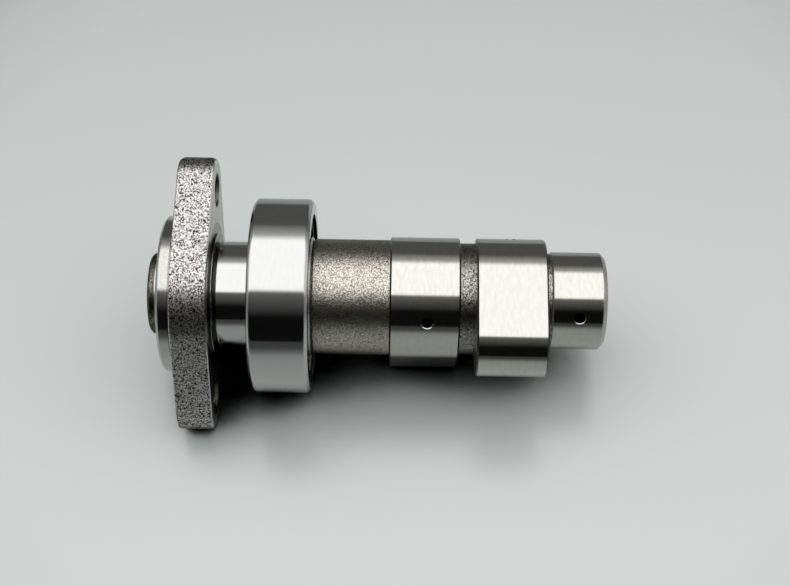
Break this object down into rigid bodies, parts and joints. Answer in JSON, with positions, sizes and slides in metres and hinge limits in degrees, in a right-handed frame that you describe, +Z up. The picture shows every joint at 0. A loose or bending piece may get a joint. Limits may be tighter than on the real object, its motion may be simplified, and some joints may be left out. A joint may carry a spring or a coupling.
{
  "type": "camshaft",
  "caption": "Short camshaft: an oval sprocket flange, a ball bearing behind it, ground cam lobes on a cast body, and a plain end journal with oil holes.",
  "frame": {"origin": "centre of the ball bearing, on the shaft axis", "axes": "+X along the shaft from the sprocket end to the plain journal, +Z up within 5 degrees as it lies at rest on the bearing, the front flange ear and lobe 1, -Y to the front"},
  "size_m": [0.0926, 0.0476, 0.04],
  "materials": {
    "camshaft_iron": "blasted cast skin, with lobes and journals ground bright",
    "plug_steel": "plain pressed steel",
    "flange_steel": "ground faces and collar, with a coarse pitted skin round the edge",
    "ring_steel": "ground and polished bearing steel",
    "cage_steel": "satin pressed sheet",
    "ball_steel": "mirror polished bearing steel"
  },
  "bodies": {
    "camshaft": {"camshaft": "camshaft_iron", "oil_gallery_plug": "plug_steel", "sprocket_flange": "flange_steel", "bearing_inner_ring": "ring_steel"},
    "outer_ring": {"bearing_outer_ring": "ring_steel"},
    "cage": {"cage_half_left": "cage_steel", "cage_half_right": "cage_steel", "cage_rivets": "cage_steel"},
    "ball_1": {"bearing_ball_1": "ball_steel"},
    "ball_2": {"bearing_ball_2": "ball_steel"},
    "ball_3": {"bearing_ball_3": "ball_steel"},
    "ball_4": {"bearing_ball_4": "ball_steel"},
    "ball_5": {"bearing_ball_5": "ball_steel"},
    "ball_6": {"bearing_ball_6": "ball_steel"},
    "ball_7": {"bearing_ball_7": "ball_steel"},
    "ball_8": {"bearing_ball_8": "ball_steel"}
  },
  "joints": [
    {"name": "outer_ring_spin", "type": "hinge", "parent": "camshaft", "child": "outer_ring", "pos_m": [0, 0, 0], "axis": [1, 0, 0], "continuous": true},
    {"name": "cage_spin", "type": "hinge", "parent": "camshaft", "child": "cage", "pos_m": [0, 0, 0], "axis": [1, 0, 0], "continuous": true},
    {"name": "ball_1_spin", "type": "hinge", "parent": "cage", "child": "ball_1", "pos_m": [0, 0, 0.01425], "axis": [1, 0, 0], "continuous": true},
    {"name": "ball_2_spin", "type": "hinge", "parent": "cage", "child": "ball_2", "pos_m": [0, -0.01008, 0.01008], "axis": [1, 0, 0], "continuous": true},
    {"name": "ball_3_spin", "type": "hinge", "parent": "cage", "child": "ball_3", "pos_m": [0, -0.01425, 0], "axis": [1, 0, 0], "continuous": true},
    {"name": "ball_4_spin", "type": "hinge", "parent": "cage", "child": "ball_4", "pos_m": [0, -0.01008, -0.01008], "axis": [1, 0, 0], "continuous": true},
    {"name": "ball_5_spin", "type": "hinge", "parent": "cage", "child": "ball_5", "pos_m": [0, 0, -0.01425], "axis": [1, 0, 0], "continuous": true},
    {"name": "ball_6_spin", "type": "hinge", "parent": "cage", "child": "ball_6", "pos_m": [0, 0.01008, -0.01008], "axis": [1, 0, 0], "continuous": true},
    {"name": "ball_7_spin", "type": "hinge", "parent": "cage", "child": "ball_7", "pos_m": [0, 0.01425, 0], "axis": [1, 0, 0], "continuous": true},
    {"name": "ball_8_spin", "type": "hinge", "parent": "cage", "child": "ball_8", "pos_m": [0, 0.01008, 0.01008], "axis": [1, 0, 0], "continuous": true}
  ],
  "couplings": [
    {"joint": "cage_spin", "follows": "outer_ring_spin", "ratio": 0.61837},
    {"joint": "ball_1_spin", "follows": "outer_ring_spin", "ratio": 1.9937},
    {"joint": "ball_2_spin", "follows": "outer_ring_spin", "ratio": 1.9937},
    {"joint": "ball_3_spin", "follows": "outer_ring_spin", "ratio": 1.9937},
    {"joint": "ball_4_spin", "follows": "outer_ring_spin", "ratio": 1.9937},
    {"joint": "ball_5_spin", "follows": "outer_ring_spin", "ratio": 1.9937},
    {"joint": "ball_6_spin", "follows": "outer_ring_spin", "ratio": 1.9937},
    {"joint": "ball_7_spin", "follows": "outer_ring_spin", "ratio": 1.9937},
    {"joint": "ball_8_spin", "follows": "outer_ring_spin", "ratio": 1.9937}
  ]
}
